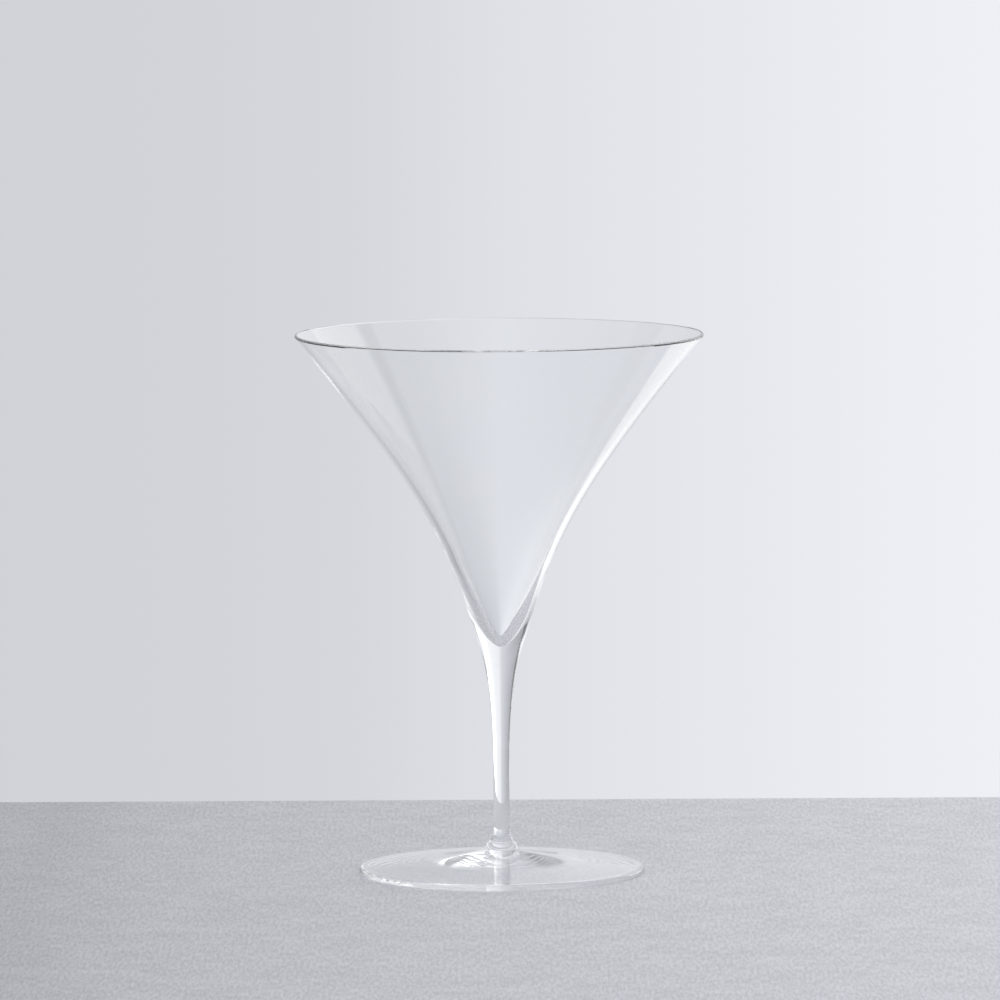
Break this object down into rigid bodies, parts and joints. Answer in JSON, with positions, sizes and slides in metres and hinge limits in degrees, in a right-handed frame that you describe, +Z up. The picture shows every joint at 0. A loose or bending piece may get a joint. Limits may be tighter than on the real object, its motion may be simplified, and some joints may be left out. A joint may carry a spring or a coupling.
{
  "type": "martini glass",
  "caption": "Clear crystal martini glass: a wide flared conical bowl with a thin fire-polished rim, on a slim drawn stem and a round foot.",
  "frame": {"origin": "centre of the plane that the foot stands on", "axes": "+Z up along the stem's axis, from the foot to the rim; the glass is round about Z, so +X and +Y are free"},
  "size_m": [0.115, 0.115, 0.1525],
  "materials": {
    "bowl_crystal": "clear, fire-polished",
    "stem_crystal": "clear, fire-polished",
    "foot_crystal": "clear, fire-polished"
  },
  "bodies": {
    "root": {"bowl": "bowl_crystal", "stem": "stem_crystal", "foot": "foot_crystal"}
  },
  "joints": []
}
